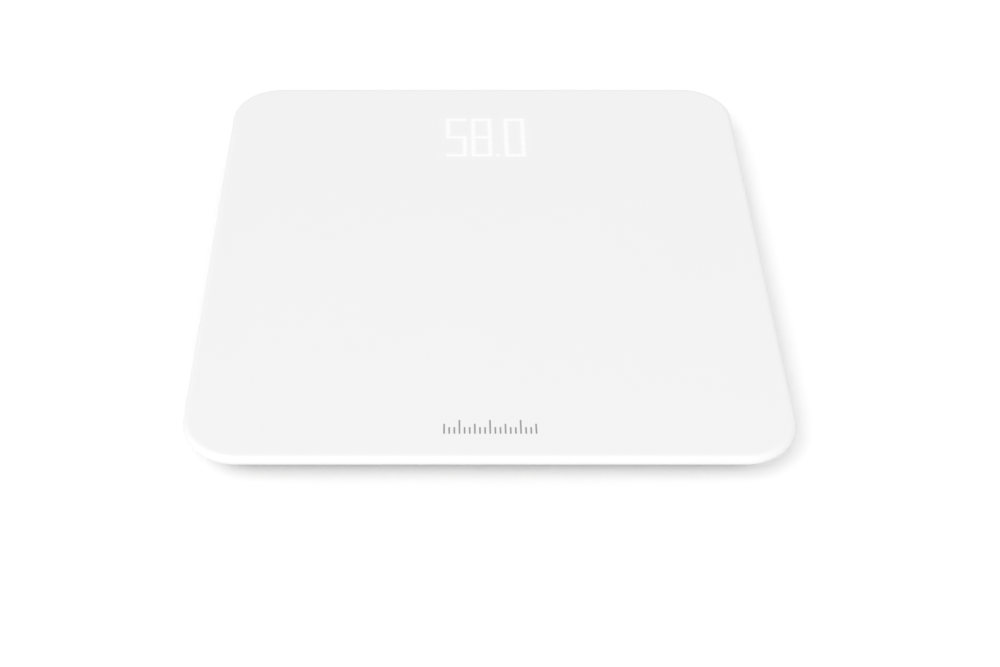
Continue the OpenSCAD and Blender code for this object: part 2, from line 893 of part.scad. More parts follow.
// The flat cable rises from the main board's header to the display's, in one smooth S
module display_cable() {
    t = 0.3;
    y0 = main_board_y + main_board_d / 2 - 1;
    y1 = display_y - display_board_d / 2 + 2;
    z0 = main_board_top + 0.9;
    z1 = display_board_z - 1.4;
    steps = 16;
    function rise(s) = z0 + (z1 - z0) * (3 * s * s - 2 * s * s * s);
    line = [for (i = [0:steps]) [y0 + (y1 - y0) * i / steps, rise(i / steps)]];
    color("whitesmoke")
        translate([-7, 0, 0])
            rotate([90, 0, 90])
                linear_extrude(14)
                    polygon(concat(line, [for (i = [steps:-1:0]) line[i] + [0, t]]));
}

module display_screws() {
    color("silver")
        display_boss_spots()
            screw_up(display_board_z, display_screw_d, 4, 3.2, 1.1);
}

// ---- Assembly ----

platform_cover();
stiffener_plate();
base_housing();
housing_screws();
battery_door();
door_latch();
battery_springs();
contact_plates();
battery_leads();
main_board();
controller_chip();
board_parts();
cell_headers();
board_screws();
unit_switch();
switch_plunger();
unit_button();
display_board();
display_leds();
display_mask();
display_header();
display_cable();
display_screws();
holder_screws();
blank_label();
for (i = [1:battery_n])
    battery(i);
for (i = [0:3]) {
    foot_cup(foot_spots[i]);
    foot_pad(foot_spots[i]);
    foot_screw(foot_spots[i]);
    load_cell(foot_spots[i]);
    cell_holder(foot_spots[i]);
    strain_gauge(foot_spots[i]);
    cell_wires(foot_spots[i], foot_spots[i][1] > 0 ? header_spots[1] : header_spots[0]);
}
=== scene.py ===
import json
import math
from types import SimpleNamespace

import bmesh
import bpy
from mathutils import Matrix, Vector

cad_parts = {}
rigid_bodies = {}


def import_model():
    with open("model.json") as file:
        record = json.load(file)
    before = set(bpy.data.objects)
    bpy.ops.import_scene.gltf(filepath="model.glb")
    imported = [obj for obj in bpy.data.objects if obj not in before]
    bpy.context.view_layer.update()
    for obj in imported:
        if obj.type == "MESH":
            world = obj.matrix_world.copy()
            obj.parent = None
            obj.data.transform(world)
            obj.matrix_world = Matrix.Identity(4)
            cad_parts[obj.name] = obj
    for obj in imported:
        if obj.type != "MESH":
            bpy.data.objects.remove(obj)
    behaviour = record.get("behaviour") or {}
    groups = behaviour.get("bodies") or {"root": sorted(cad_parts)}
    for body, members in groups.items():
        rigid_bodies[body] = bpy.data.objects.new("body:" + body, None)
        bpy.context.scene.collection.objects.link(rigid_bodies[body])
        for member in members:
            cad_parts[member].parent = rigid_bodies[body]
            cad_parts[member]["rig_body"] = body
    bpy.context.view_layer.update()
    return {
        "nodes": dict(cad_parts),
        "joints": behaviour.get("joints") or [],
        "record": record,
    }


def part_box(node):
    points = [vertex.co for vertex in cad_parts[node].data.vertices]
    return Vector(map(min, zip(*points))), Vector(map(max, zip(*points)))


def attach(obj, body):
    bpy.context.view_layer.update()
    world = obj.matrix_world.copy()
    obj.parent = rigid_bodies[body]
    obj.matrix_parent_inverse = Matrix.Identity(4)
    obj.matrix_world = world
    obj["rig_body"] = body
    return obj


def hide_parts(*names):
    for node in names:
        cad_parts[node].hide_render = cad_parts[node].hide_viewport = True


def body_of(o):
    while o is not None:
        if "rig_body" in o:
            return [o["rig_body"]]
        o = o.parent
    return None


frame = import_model()
print("frame loaded:", len(frame["nodes"]), "nodes")

mm = 0.001
housing = "housing"
corners = ["front_left", "front_right", "back_left", "back_right"]


def span(node):
    # the box round a CAD node
    low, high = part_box(node)
    return SimpleNamespace(low=low, high=high, middle=(low + high) / 2, size=high - low)


def camel(node, ending=""):
    words = node.split("_")
    return words[0] + "".join(w.capitalize() for w in words[1:]) + ending


def arc(centreU, centreZ, radius, start, stop, steps):
    # points of a round stretch of a profile, with angles in degrees from +u towards +z
    angles = [math.radians(start + (stop - start) * i / steps) for i in range(steps + 1)]
    return [(centreU + radius * math.cos(a), centreZ + radius * math.sin(a)) for a in angles]


def polyline(bm, points):
    verts = [bm.verts.new(p) for p in points]
    edges = [bm.edges.new(pair) for pair in zip(verts, verts[1:])]
    return verts, edges


def sweepAround(bm, profile, halfWidth, halfDepth, cornerRadius, inset, cornerSteps=24):
    # carries an open profile of (u, z) points round a square with round corners
    straightX, straightY = halfWidth - cornerRadius, halfDepth - cornerRadius
    verts, edges = polyline(bm, [(halfWidth - inset + u, -straightY, z) for u, z in profile])
    moves = [(0, 2 * straightY, 0), (-2 * straightX, 0, 0),
             (0, -2 * straightY, 0), (2 * straightX, 0, 0)]
    centres = [(straightX, straightY, 0), (-straightX, straightY, 0),
               (-straightX, -straightY, 0), (straightX, -straightY, 0)]
    for move, centre in zip(moves, centres):
        run = bmesh.ops.extrude_edge_only(bm, edges=edges)
        verts = [g for g in run["geom"] if isinstance(g, bmesh.types.BMVert)]
        edges = [g for g in run["geom"] if isinstance(g, bmesh.types.BMEdge)]
        bmesh.ops.translate(bm, verts=verts, vec=move)
        turn = bmesh.ops.spin(bm, geom=verts + edges, cent=centre, axis=(0, 0, 1),
                              angle=math.pi / 2, steps=cornerSteps, use_merge=False)
        edges = [g for g in turn["geom_last"] if isinstance(g, bmesh.types.BMEdge)]
    bmesh.ops.remove_doubles(bm, verts=bm.verts[:], dist=1e-6)


def fillRing(bm, height):
    # closes the open ring of edges at one height with a single flat face
    ring = [e for e in bm.edges if e.is_boundary and all(abs(v.co.z - height) < 1e-6 for v in e.verts)]
    bmesh.ops.contextual_create(bm, geom=ring)


def lathe(bm, profile, centre=(0, 0), steps=48):
    # turns an open profile of (radius, z) points about a standing axis
    verts, edges = polyline(bm, [(centre[0] + r, centre[1], z) for r, z in profile])
    bmesh.ops.spin(bm, geom=verts + edges, cent=(centre[0], centre[1], 0), axis=(0, 0, 1),
                   angle=2 * math.pi, steps=steps, use_merge=True)
    bmesh.ops.remove_doubles(bm, verts=bm.verts[:], dist=1e-6)


def block(bm, low, high, rounding=0.0, segments=3, upright=0.0):
    # a box between two corners, with its upright edges rounded first and then all its edges
    low, high = Vector(low), Vector(high)
    size, middle = high - low, (high + low) / 2
    place = Matrix.Translation(middle) @ Matrix.Diagonal((*size, 1))
    verts = bmesh.ops.create_cube(bm, size=1.0, matrix=place)["verts"]
    if upright:
        edges = [e for e in {e for v in verts for e in v.link_edges}
                 if abs(e.verts[0].co.z - e.verts[1].co.z) > size.z / 2]
        made = bmesh.ops.bevel(bm, geom=edges, offset=upright, affect="EDGES", segments=6,
                               profile=0.5, material=-1, clamp_overlap=True)
        verts = list({v for f in made["faces"] for v in f.verts} | {v for v in verts if v.is_valid})
    if rounding:
        edges = [e for e in {e for v in verts for e in v.link_edges} if e.calc_face_angle(0) > 0.6]
        bmesh.ops.bevel(bm, geom=edges, offset=rounding, affect="EDGES", segments=segments,
                        profile=0.5, material=-1, clamp_overlap=True)


def finishMesh(bm, name, smoothAngle=40):
    bmesh.ops.recalc_face_normals(bm, faces=bm.faces[:])
    for face in bm.faces:
        face.smooth = True
    for edge in bm.edges:
        edge.smooth = edge.calc_face_angle(0) < math.radians(smoothAngle)
    mesh = bpy.data.meshes.new(name)
    bm.to_mesh(mesh)
    bm.free()
    return mesh


def addPiece(name, mesh, materials, body=housing, stands=()):
    piece = bpy.data.objects.new(name, mesh)
    bpy.context.scene.collection.objects.link(piece)
    for material in materials:
        piece.data.materials.append(material)
    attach(piece, body)
    if stands:
        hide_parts(*stands)
    return piece


def carve(mesh, tools):
    # unions and cuts other shapes into a mesh, one after another
    worked = bpy.data.objects.new("worked", mesh)
    bpy.context.scene.collection.objects.link(worked)
    helpers = []
    for operation, tool in tools:
        helper = bpy.data.objects.new("tool", finishMesh(tool, "tool"))
        bpy.context.scene.collection.objects.link(helper)
        boolean = worked.modifiers.new("carve", "BOOLEAN")
        boolean.operation = operation
        boolean.solver = "EXACT"
        boolean.object = helper
        helpers.append(helper)
    bpy.context.view_layer.update()
    depsgraph = bpy.context.evaluated_depsgraph_get()
    made = bpy.data.meshes.new_from_object(worked.evaluated_get(depsgraph))
    for helper in helpers + [worked]:
        old = helper.data
        bpy.data.objects.remove(helper)
        bpy.data.meshes.remove(old)
    return made


def softEdges(piece, width, segments=2, angle=35):
    bevel = piece.modifiers.new("softEdges", "BEVEL")
    bevel.width = width
    bevel.segments = segments
    bevel.limit_method = "ANGLE"
    bevel.angle_limit = math.radians(angle)
    bevel.harden_normals = True
    return piece


def makeGroup(name, inputs, outputs):
    group = bpy.data.node_groups.new(name, "ShaderNodeTree")
    for label, kind, value in inputs:
        socket = group.interface.new_socket(label, in_out="INPUT", socket_type=kind)
        if value is not None:
            socket.default_value = value
    for label, kind in outputs:
        group.interface.new_socket(label, in_out="OUTPUT", socket_type=kind)
    return group, group.nodes.new("NodeGroupInput"), group.nodes.new("NodeGroupOutput")


def addNode(tree, kind, values=(), **settings):
    node = tree.nodes.new(kind)
    for key, value in settings.items():
        setattr(node, key, value)
    for key, value in dict(values).items():
        node.inputs[key].default_value = value
    return node


colour, number, vector = "NodeSocketColor", "NodeSocketFloat", "NodeSocketVector"


def makeMouldGrain():
    # the fine sparked texture of a moulding, with a faint unevenness of tone and gloss
    group, given, out = makeGroup(
        "mouldGrain",
        [("Vector", vector, None), ("Grain Scale", number, 900.0), ("Tone Scale", number, 14.0),
         ("Tone A", colour, (0.8, 0.8, 0.8, 1)), ("Tone B", colour, (0.78, 0.78, 0.78, 1)),
         ("Rough Low", number, 0.35), ("Rough High", number, 0.45)],
        [("Color", colour), ("Roughness", number), ("Height", number)])
    grain = addNode(group, "ShaderNodeTexNoise", {"Detail": 3.0, "Roughness": 0.6})
    cells = addNode(group, "ShaderNodeTexVoronoi", feature="SMOOTH_F1")
    tone = addNode(group, "ShaderNodeTexNoise", {"Detail": 4.0, "Roughness": 0.55})
    sheen = addNode(group, "ShaderNodeTexNoise", {"Scale": 60.0, "Detail": 5.0})
    mixed = addNode(group, "ShaderNodeMix", data_type="RGBA")
    rough = addNode(group, "ShaderNodeMapRange", {"From Min": 0.3, "From Max": 0.7})
    height = addNode(group, "ShaderNodeMath", operation="ADD")
    link = group.links.new
    for texture in (grain, cells, tone, sheen):
        link(given.outputs["Vector"], texture.inputs["Vector"])
    link(given.outputs["Grain Scale"], grain.inputs["Scale"])
    link(given.outputs["Grain Scale"], cells.inputs["Scale"])
    link(given.outputs["Tone Scale"], tone.inputs["Scale"])
    link(tone.outputs["Fac"], mixed.inputs["Factor"])
    link(given.outputs["Tone A"], mixed.inputs["A"])
    link(given.outputs["Tone B"], mixed.inputs["B"])
    link(sheen.outputs["Fac"], rough.inputs["Value"])
    link(given.outputs["Rough Low"], rough.inputs["To Min"])
    link(given.outputs["Rough High"], rough.inputs["To Max"])
    link(grain.outputs["Fac"], height.inputs[0])
    link(cells.outputs["Distance"], height.inputs[1])
    link(mixed.outputs["Result"], out.inputs["Color"])
    link(rough.outputs["Result"], out.inputs["Roughness"])
    link(height.outputs["Value"], out.inputs["Height"])
    return group


def makeMetalGrain():
    # rolled or drawn metal: streaks along one direction, with blotches of zinc or nickel
    group, given, out = makeGroup(
        "metalGrain",
        [("Vector", vector, None), ("Streak", vector, (40.0, 1500.0, 1500.0)),
         ("Tone A", colour, (0.6, 0.6, 0.6, 1)), ("Tone B", colour, (0.5, 0.5, 0.5, 1)),
         ("Rough Low", number, 0.25), ("Rough High", number, 0.4), ("Blotch Scale", number, 160.0)],
        [("Color", colour), ("Roughness", number), ("Height", number)])
    stretch = addNode(group, "ShaderNodeVectorMath", operation="MULTIPLY")
    streak = addNode(group, "ShaderNodeTexNoise", {"Scale": 1.0, "Detail": 3.0})
    blotch = addNode(group, "ShaderNodeTexNoise", {"Detail": 5.0, "Roughness": 0.6})
    both = addNode(group, "ShaderNodeMath", operation="MULTIPLY")
    mixed = addNode(group, "ShaderNodeMix", data_type="RGBA")
    rough = addNode(group, "ShaderNodeMapRange", {"From Min": 0.1, "From Max": 0.5})
    link = group.links.new
    link(given.outputs["Vector"], stretch.inputs[0])
    link(given.outputs["Streak"], stretch.inputs[1])
    link(stretch.outputs["Vector"], streak.inputs["Vector"])
    link(given.outputs["Vector"], blotch.inputs["Vector"])
    link(given.outputs["Blotch Scale"], blotch.inputs["Scale"])
    link(streak.outputs["Fac"], both.inputs[0])
    link(blotch.outputs["Fac"], both.inputs[1])
    link(blotch.outputs["Fac"], mixed.inputs["Factor"])
    link(given.outputs["Tone A"], mixed.inputs["A"])
    link(given.outputs["Tone B"], mixed.inputs["B"])
    link(both.outputs["Value"], rough.inputs["Value"])
    link(given.outputs["Rough Low"], rough.inputs["To Min"])
    link(given.outputs["Rough High"], rough.inputs["To Max"])
    link(mixed.outputs["Result"], out.inputs["Color"])
    link(rough.outputs["Result"], out.inputs["Roughness"])
    link(streak.outputs["Fac"], out.inputs["Height"])
    return group


mouldGrain = makeMouldGrain()
metalGrain = makeMetalGrain()


def grey(value, warm=0.0):
    return (value, value * (1 - warm * 0.4), value * (1 - warm), 1)


def finish(name, group, values, bump, shader=()):
    # one material: a grain group placed on Object coordinates, and a Principled BSDF
    material = bpy.data.materials.new(name)
    material.use_nodes = True
    tree = material.node_tree
    shading = tree.nodes["Principled BSDF"]
    place = addNode(tree, "ShaderNodeTexCoord")
    grain = addNode(tree, "ShaderNodeGroup", node_tree=group)
    for key, value in values.items():
        grain.inputs[key].default_value = value
    relief = addNode(tree, "ShaderNodeBump", {"Strength": 1.0, "Distance": bump})
    for key, value in dict(shader).items():
        shading.inputs[key].default_value = value
    link = tree.links.new
    link(place.outputs["Object"], grain.inputs["Vector"])
    link(grain.outputs["Color"], shading.inputs["Base Color"])
    link(grain.outputs["Roughness"], shading.inputs["Roughness"])
    link(grain.outputs["Height"], relief.inputs["Height"])
    link(relief.outputs["Normal"], shading.inputs["Normal"])
    return material


def plastic(name, toneA, toneB, rough, grainScale=900.0, bump=0.000004, shader=()):
    values = {"Tone A": toneA, "Tone B": toneB, "Rough Low": rough[0], "Rough High": rough[1],
              "Grain Scale": grainScale}
    return finish(name, mouldGrain, values, bump, shader)


def metal(name, toneA, toneB, rough, streak=(40.0, 1500.0, 1500.0), bump=0.000003):
    values = {"Tone A": toneA, "Tone B": toneB, "Rough Low": rough[0], "Rough High": rough[1],
              "Streak": streak}
    return finish(name, metalGrain, values, bump, {"Metallic": 1.0})


looks = {
    "platform_abs": plastic("platformAbs", grey(0.795), grey(0.787), (0.40, 0.48), 1400.0, 0.000002),
    "base_abs": plastic("baseAbs", grey(0.80, 0.006), grey(0.78, 0.01), (0.5, 0.62), 700.0, 0.00001),
    "foot_abs": plastic("footAbs", grey(0.70, 0.01), grey(0.67, 0.015), (0.45, 0.6), 700.0, 0.00001),
    "holder_abs": plastic("holderAbs", grey(0.5), grey(0.47), (0.4, 0.55)),
    "button_grey": plastic("buttonAbs", (0.30, 0.31, 0.32, 1), (0.27, 0.28, 0.29, 1), (0.35, 0.5)),
    "pad_rubber": plastic("padRubber", grey(0.045), grey(0.032), (0.6, 0.85), 1200.0, 0.00002,
                          {"Specular IOR Level": 0.35}),
    "lead_jacket": plastic("leadJacket", grey(0.02), grey(0.028), (0.3, 0.45), 1500.0),
    "cell_wire_jacket": plastic("cellWireRed", (0.5, 0.02, 0.015, 1), (0.42, 0.02, 0.015, 1),
                                (0.3, 0.45)),
    "flat_cable": plastic("flatCable", grey(0.75), grey(0.7), (0.25, 0.35)),
    "board_parts": plastic("boardParts", (0.42, 0.31, 0.19, 1), (0.34, 0.24, 0.14, 1), (0.3, 0.5)),
    "chip_black": plastic("chipBlack", grey(0.016), grey(0.024), (0.45, 0.6), 1800.0, 0.000006),
    "header_ivory": plastic("headerIvory", (0.72, 0.66, 0.5, 1), (0.68, 0.62, 0.46, 1), (0.35, 0.5)),
    "switch_grey": plastic("switchGrey", grey(0.06), grey(0.07), (0.4, 0.55)),
    "mask_white": plastic("maskWhite", grey(0.82), grey(0.8), (0.4, 0.55)),
    "led_white": plastic("ledPackage", (0.85, 0.8, 0.42, 1), (0.8, 0.75, 0.36, 1), (0.2, 0.3)),
    "label_foil": plastic("labelFoil", (0.62, 0.63, 0.65, 1), (0.58, 0.59, 0.61, 1), (0.28, 0.4),
                          1600.0, 0.000002, {"Metallic": 0.6}),
    "gauge_epoxy": plastic("gaugeResin", (0.72, 0.68, 0.55, 1), (0.66, 0.61, 0.46, 1), (0.15, 0.3)),
    "battery_wrap": plastic("batterySleeve", grey(0.018), grey(0.03), (0.2, 0.3), 1200.0, 0.000003,
                            {"Coat Weight": 0.5, "Coat Roughness": 0.15}),
    "zinc_plate": metal("zincPlate", grey(0.62), grey(0.5), (0.3, 0.5)),
    "cell_steel": metal("cellSteel", (0.62, 0.63, 0.65, 1), (0.54, 0.55, 0.57, 1), (0.2, 0.34),
                        (1500.0, 60.0, 1500.0)),
    "spring_steel": metal("springSteel", grey(0.66), grey(0.58), (0.15, 0.3), (900.0, 900.0, 900.0)),
    "screw_steel": metal("screwSteel", (0.60, 0.60, 0.57, 1), (0.5, 0.51, 0.5, 1), (0.22, 0.4),
                         (900.0, 900.0, 900.0)),
    "nickel_plate": metal("nickelPlate", (0.68, 0.66, 0.62, 1), (0.6, 0.58, 0.54, 1), (0.12, 0.28)),
}
wireWhite = plastic("cellWireWhite", grey(0.8), grey(0.76), (0.3, 0.45))
bandCopper = plastic("batteryBand", (0.55, 0.27, 0.1, 1), (0.5, 0.24, 0.09, 1), (0.22, 0.32),
                     1200.0, 0.000003, {"Metallic": 0.7})
markInk = plastic("markInk", grey(0.30), grey(0.28), (0.4, 0.5), 2500.0, 0.000002)


def makeBoardGreen():
    # solder mask with paler tracks under it and tinned pads
    material = plastic("boardGreen", (0.012, 0.12, 0.045, 1), (0.016, 0.15, 0.06, 1), (0.25, 0.4), 900.0)
    tree = material.node_tree
    shading = tree.nodes["Principled BSDF"]
    source = shading.inputs["Base Color"].links[0].from_socket
    place = next(n for n in tree.nodes if n.type == "TEX_COORD")
    tracks = addNode(tree, "ShaderNodeTexBrick",
                     {"Scale": 260.0, "Mortar Size": 0.035, "Color1": (0, 0, 0, 1),
                      "Color2": (0, 0, 0, 1), "Mortar": (1, 1, 1, 1)})
    over = addNode(tree, "ShaderNodeMix", {"B": (0.06, 0.34, 0.14, 1)}, data_type="RGBA")
    tree.links.new(place.outputs["Object"], tracks.inputs["Vector"])
    tree.links.new(tracks.outputs["Color"], over.inputs["Factor"])
    tree.links.new(source, over.inputs["A"])
    tree.links.new(over.outputs["Result"], shading.inputs["Base Color"])
    return material


looks["board_green"] = makeBoardGreen()
print("materials made:", len(looks) + 3)


platform = {"skin": 2.4 * mm, "rimWall": 5.5 * mm, "cornerRadius": 28 * mm, "rimThickness": 6 * mm,
            "rimSteps": 14, "cornerSteps": 36, "flatLoop": 1.5 * mm, "wallEdge": 0.3 * mm,
            "skinFillet": 0.4 * mm, "skinLoop": 2 * mm}


def makePlatform():
    # a skin with a rolled rim, whose profile runs from the top round the rim and up the inner wall
    p = platform
    cover = span("platform_cover")
    top, under = cover.high.z, cover.high.z - p["rimThickness"]
    skinUnder = top - p["skin"]
    rimRadius = p["rimThickness"] / 2
    innerWall = rimRadius - p["rimWall"]
    edge, fillet = p["wallEdge"], p["skinFillet"]
    profile = [(-2 * p["flatLoop"], top), (-p["flatLoop"], top)]
    profile += arc(0, top - rimRadius, rimRadius, 90, -90, p["rimSteps"])
    profile += [(innerWall + edge, under), (innerWall, under + edge), (innerWall, skinUnder - fillet),
                (innerWall - fillet, skinUnder), (innerWall - p["skinLoop"], skinUnder)]
    bm = bmesh.new()
    sweepAround(bm, profile, cover.size.x / 2, cover.size.y / 2, p["cornerRadius"], rimRadius,
                p["cornerSteps"])
    fillRing(bm, top)
    fillRing(bm, skinUnder)
    addPiece("platformCover", finishMesh(bm, "platformCover"), [looks["platform_abs"]],
             stands=["platform_cover"])


makePlatform()
print("platform made")


display = {"digitHeight": 34.3 * mm, "digitWidth": 9.8 * mm, "tensX": -15.6 * mm, "pitch": 14.9 * mm,
           "pointPitch": 19.5 * mm, "pointShift": 0.5 * mm, "columns": 4, "rows": 7,
           "dotRadius": 0.7 * mm, "dotSteps": 12, "proud": 0.012 * mm, "dotLight": 0.11,
           "strokeHalf": 0.45 * mm, "glowReach": 0.85 * mm, "haze": 0.12, "hazeReach": 4.5 * mm,
           "glowStep": 0.4 * mm, "glowMargin": 7 * mm, "skinLight": 0.085}

# which strokes are lit: top, middle, bottom, upper left, upper right, lower left, lower right
strokes = {"5": (1, 1, 1, 1, 0, 0, 1), "8": (1, 1, 1, 1, 1, 1, 1), "0": (1, 0, 1, 1, 1, 1, 1)}


def litDots():
    # where the lit dots are, and the straight strokes that run through them
    d = display
    base = span("display_mask").middle.y - d["digitHeight"] / 2
    lastCol, lastRow = d["columns"] - 1, d["rows"] - 1
    half = lastRow // 2
    places = [("5", d["tensX"]), ("8", d["tensX"] + d["pitch"]),
              ("0", d["tensX"] + d["pitch"] + d["pointPitch"])]
    dots, lines = [], []
    for figure, x in places:
        top, mid, bottom, upLeft, upRight, lowLeft, lowRight = strokes[figure]
        for row in range(lastRow + 1):
            for col in range(lastCol + 1):
                across = (row == 0 and bottom) or (row == half and mid) or (row == lastRow and top)
                left = col == 0 and ((row >= half and upLeft) or (row <= half and lowLeft))
                right = col == lastCol and ((row >= half and upRight) or (row <= half and lowRight))
                if across or left or right:
                    dots.append((x + (col / lastCol - 0.5) * d["digitWidth"],
                                 base + row / lastRow * d["digitHeight"]))
        west, east = x - d["digitWidth"] / 2, x + d["digitWidth"] / 2
        south, north = base, base + d["digitHeight"]
        waist = base + half / lastRow * d["digitHeight"]
        ends = [(west, north, east, north), (west, waist, east, waist), (west, south, east, south),
                (west, waist, west, north), (east, waist, east, north),
                (west, south, west, waist), (east, south, east, waist)]
        lines += [end for end, lit in zip(ends, strokes[figure]) if lit]
    point = (d["tensX"] + d["pitch"] + d["pointPitch"] / 2 - d["pointShift"], base)
    dots.append(point)
    lines.append(point + point)
    return dots, lines


def awayFrom(x, y, line):
    # distance from a point to a straight stroke
    x0, y0, x1, y1 = line
    squared = (x1 - x0) ** 2 + (y1 - y0) ** 2
    along = (x - x0) * (x1 - x0) + (y - y0) * (y1 - y0)
    share = max(0, min(1, along / squared)) if squared else 0
    return math.hypot(x - x0 - share * (x1 - x0), y - y0 - share * (y1 - y0))


def glowLight(name, strength, attribute=None):
    # the platform's own finish with light coming through it, which follows an attribute if one is given
    material = looks["platform_abs"].copy()
    material.name = name
    tree = material.node_tree
    shading = tree.nodes["Principled BSDF"]
    shading.inputs["Emission Color"].default_value = (1, 1, 1, 1)
    shading.inputs["Emission Strength"].default_value = strength
    if attribute:
        fade = addNode(tree, "ShaderNodeAttribute", attribute_name=attribute)
        tree.links.new(fade.outputs["Fac"], shading.inputs["Emission Color"])
    return material


def makeDisplay():
    d = display
    top = span("platform_cover").high.z
    dots, lines = litDots()
    dome = [(0, top + d["proud"] * 1.6), (d["dotRadius"] * 0.6, top + d["proud"] * 1.4),
            (d["dotRadius"], top + d["proud"] * 0.4), (d["dotRadius"], top - d["proud"]),
            (0, top - d["proud"])]
    bm = bmesh.new()
    for dot in dots:
        lathe(bm, dome, dot, d["dotSteps"])
    addPiece("litDots", finishMesh(bm, "litDots"), [glowLight("dotLight", d["dotLight"])])

    # a thin sheet over the figures, whose glow fades away from the strokes
    bm = bmesh.new()
    xs, ys = [p[0] for p in dots], [p[1] for p in dots]
    width = max(xs) - min(xs) + 2 * d["glowMargin"]
    depth = max(ys) - min(ys) + 2 * d["glowMargin"]
    place = Matrix.Translation(((max(xs) + min(xs)) / 2, (max(ys) + min(ys)) / 2, top + d["proud"] / 2))
    place = place @ Matrix.Diagonal((width / 2, depth / 2, 1, 1))
    bmesh.ops.create_grid(bm, x_segments=round(width / d["glowStep"]),
                          y_segments=round(depth / d["glowStep"]), size=1, matrix=place)
    layer = bm.verts.layers.float.new("glow")
    for vert in bm.verts:
        away = min(awayFrom(vert.co.x, vert.co.y, line) for line in lines)
        close = math.exp(-(max(0, away - d["strokeHalf"]) / d["glowReach"]) ** 2)
        wide = math.exp(-(away / d["hazeReach"]) ** 2)
        vert[layer] = close * (1 - d["haze"]) + wide * d["haze"]
    addPiece("displayGlow", finishMesh(bm, "displayGlow"),
             [glowLight("skinGlow", d["skinLight"], "glow")])


makeDisplay()
print("display made")


frontMark = {"width": 45.5 * mm, "height": 9 * mm, "fromFrontEdge": 20.5 * mm, "ticks": 19,
             "tickWidth": 0.85 * mm, "inkThickness": 0.03 * mm, "tickHeights": (1.0, 0.72, 0.48)}


def makeFrontMark():
    # a row of graduation ticks: every third is longer, and every sixth the longest
    m = frontMark
    cover = span("platform_cover")
    longest, longer, plain = m["tickHeights"]
    base = cover.low.y + m["fromFrontEdge"] - m["height"] / 2
    bm = bmesh.new()
    for i in range(m["ticks"]):
        x = cover.middle.x + (i / (m["ticks"] - 1) - 0.5) * (m["width"] - m["tickWidth"])
        tall = longest if i % 6 == 3 else longer if i % 3 == 0 else plain
        block(bm, (x - m["tickWidth"] / 2, base, cover.high.z - m["inkThickness"]),
              (x + m["tickWidth"] / 2, base + m["height"] * tall,
               cover.high.z + m["inkThickness"] / 2), upright=m["tickWidth"] * 0.3)
    addPiece("frontMark", finishMesh(bm, "frontMark"), [markInk])


makeFrontMark()
print("front mark made")


screw = {"headRadius": 2.6 * mm, "headHeight": 1.8 * mm, "shank": 1.3 * mm, "threadPitch": 1.0 * mm,
         "threadDepth": 0.16 * mm, "along": 60 * mm, "recessShare": 1.55 / 2.6,
         "recessHalf": 0.36 * mm, "headRounding": 0.6 * mm, "seatEdge": 0.15 * mm, "turnApart": 0.7}
screwBox = span("housing_screws")
screwOut = screwBox.high.x - screw["headRadius"]
screwSpots = [(sx * screw["along"], sy * screwOut) for sx in (-1, 1) for sy in (-1, 1)]
screwSpots += [(sx * screwOut, sy * screw["along"]) for sx in (-1, 1) for sy in (-1, 1)]


def screwMesh(length, headRadius, headHeight, shank):
    # a pan-head screw with its seat at z = 0 and its shank going up
    s = screw
    rounding, edge = s["headRounding"], s["seatEdge"]
    profile = [(0, -headHeight)]
    profile += arc(headRadius - rounding, -headHeight + rounding, rounding, -90, 0, 5)
    profile += [(headRadius, -edge), (headRadius - edge, 0), (shank, 0)]
    inner = shank - s["threadDepth"]
    for i in range(int(length / s["threadPitch"]) - 1):
        z = (i + 0.6) * s["threadPitch"]
        profile += [(inner, z), (inner, z + 0.3 * mm), (shank, z + 0.5 * mm), (inner, z + 0.7 * mm)]
    profile += [(shank * 0.75, length - 0.6 * mm), (0, length)]
    bm = bmesh.new()
    lathe(bm, profile, steps=32)
    arm, half = s["recessShare"] * headRadius, s["recessHalf"]
    cuts = []
    for x, y in ((arm, half), (half, arm)):
        slit = bmesh.new()
        block(slit, (-x, -y, -headHeight - 0.5 * mm), (x, y, -headHeight * 0.45))
        cuts.append(("DIFFERENCE", slit))
    return carve(finishMesh(bm, "screw"), cuts)


def manyOf(mesh, places, name):
    # copies of one mesh in one piece; a place is (x, y, z, upside down)
    bm = bmesh.new()
    for i, (x, y, z, flipped) in enumerate(places):
        before = len(bm.verts)
        bm.from_mesh(mesh)
        bm.verts.ensure_lookup_table()
        new = bm.verts[before:]
        turn = Matrix.Rotation(i * screw["turnApart"], 4, "Z")
        turn = Matrix.Rotation(math.pi if flipped else 0, 4, "X") @ turn
        bmesh.ops.transform(bm, matrix=Matrix.Translation((x, y, z)) @ turn, verts=new)
    bpy.data.meshes.remove(mesh)
    return finishMesh(bm, name)


def makeScrews():
    s = screw
    length = screwBox.high.z - screwBox.low.z - s["headHeight"]
    mesh = screwMesh(length, s["headRadius"], s["headHeight"], s["shank"])
    seat = screwBox.low.z + s["headHeight"]
    made = manyOf(mesh, [(x, y, seat, False) for x, y in screwSpots], "housingScrews")
    addPiece("housingScrews", made, [looks["screw_steel"]], stands=["housing_screws"])


boss = {"outer": 3.5 * mm, "bore": 1.35 * mm, "foot": 7 * mm, "intoSkin": 0.2 * mm,
        "smallOuter": 2.5 * mm, "smallBore": 0.85 * mm, "smallHead": 1.6 * mm,
        "boreEdge": 0.2 * mm, "outerEdge": 0.3 * mm}


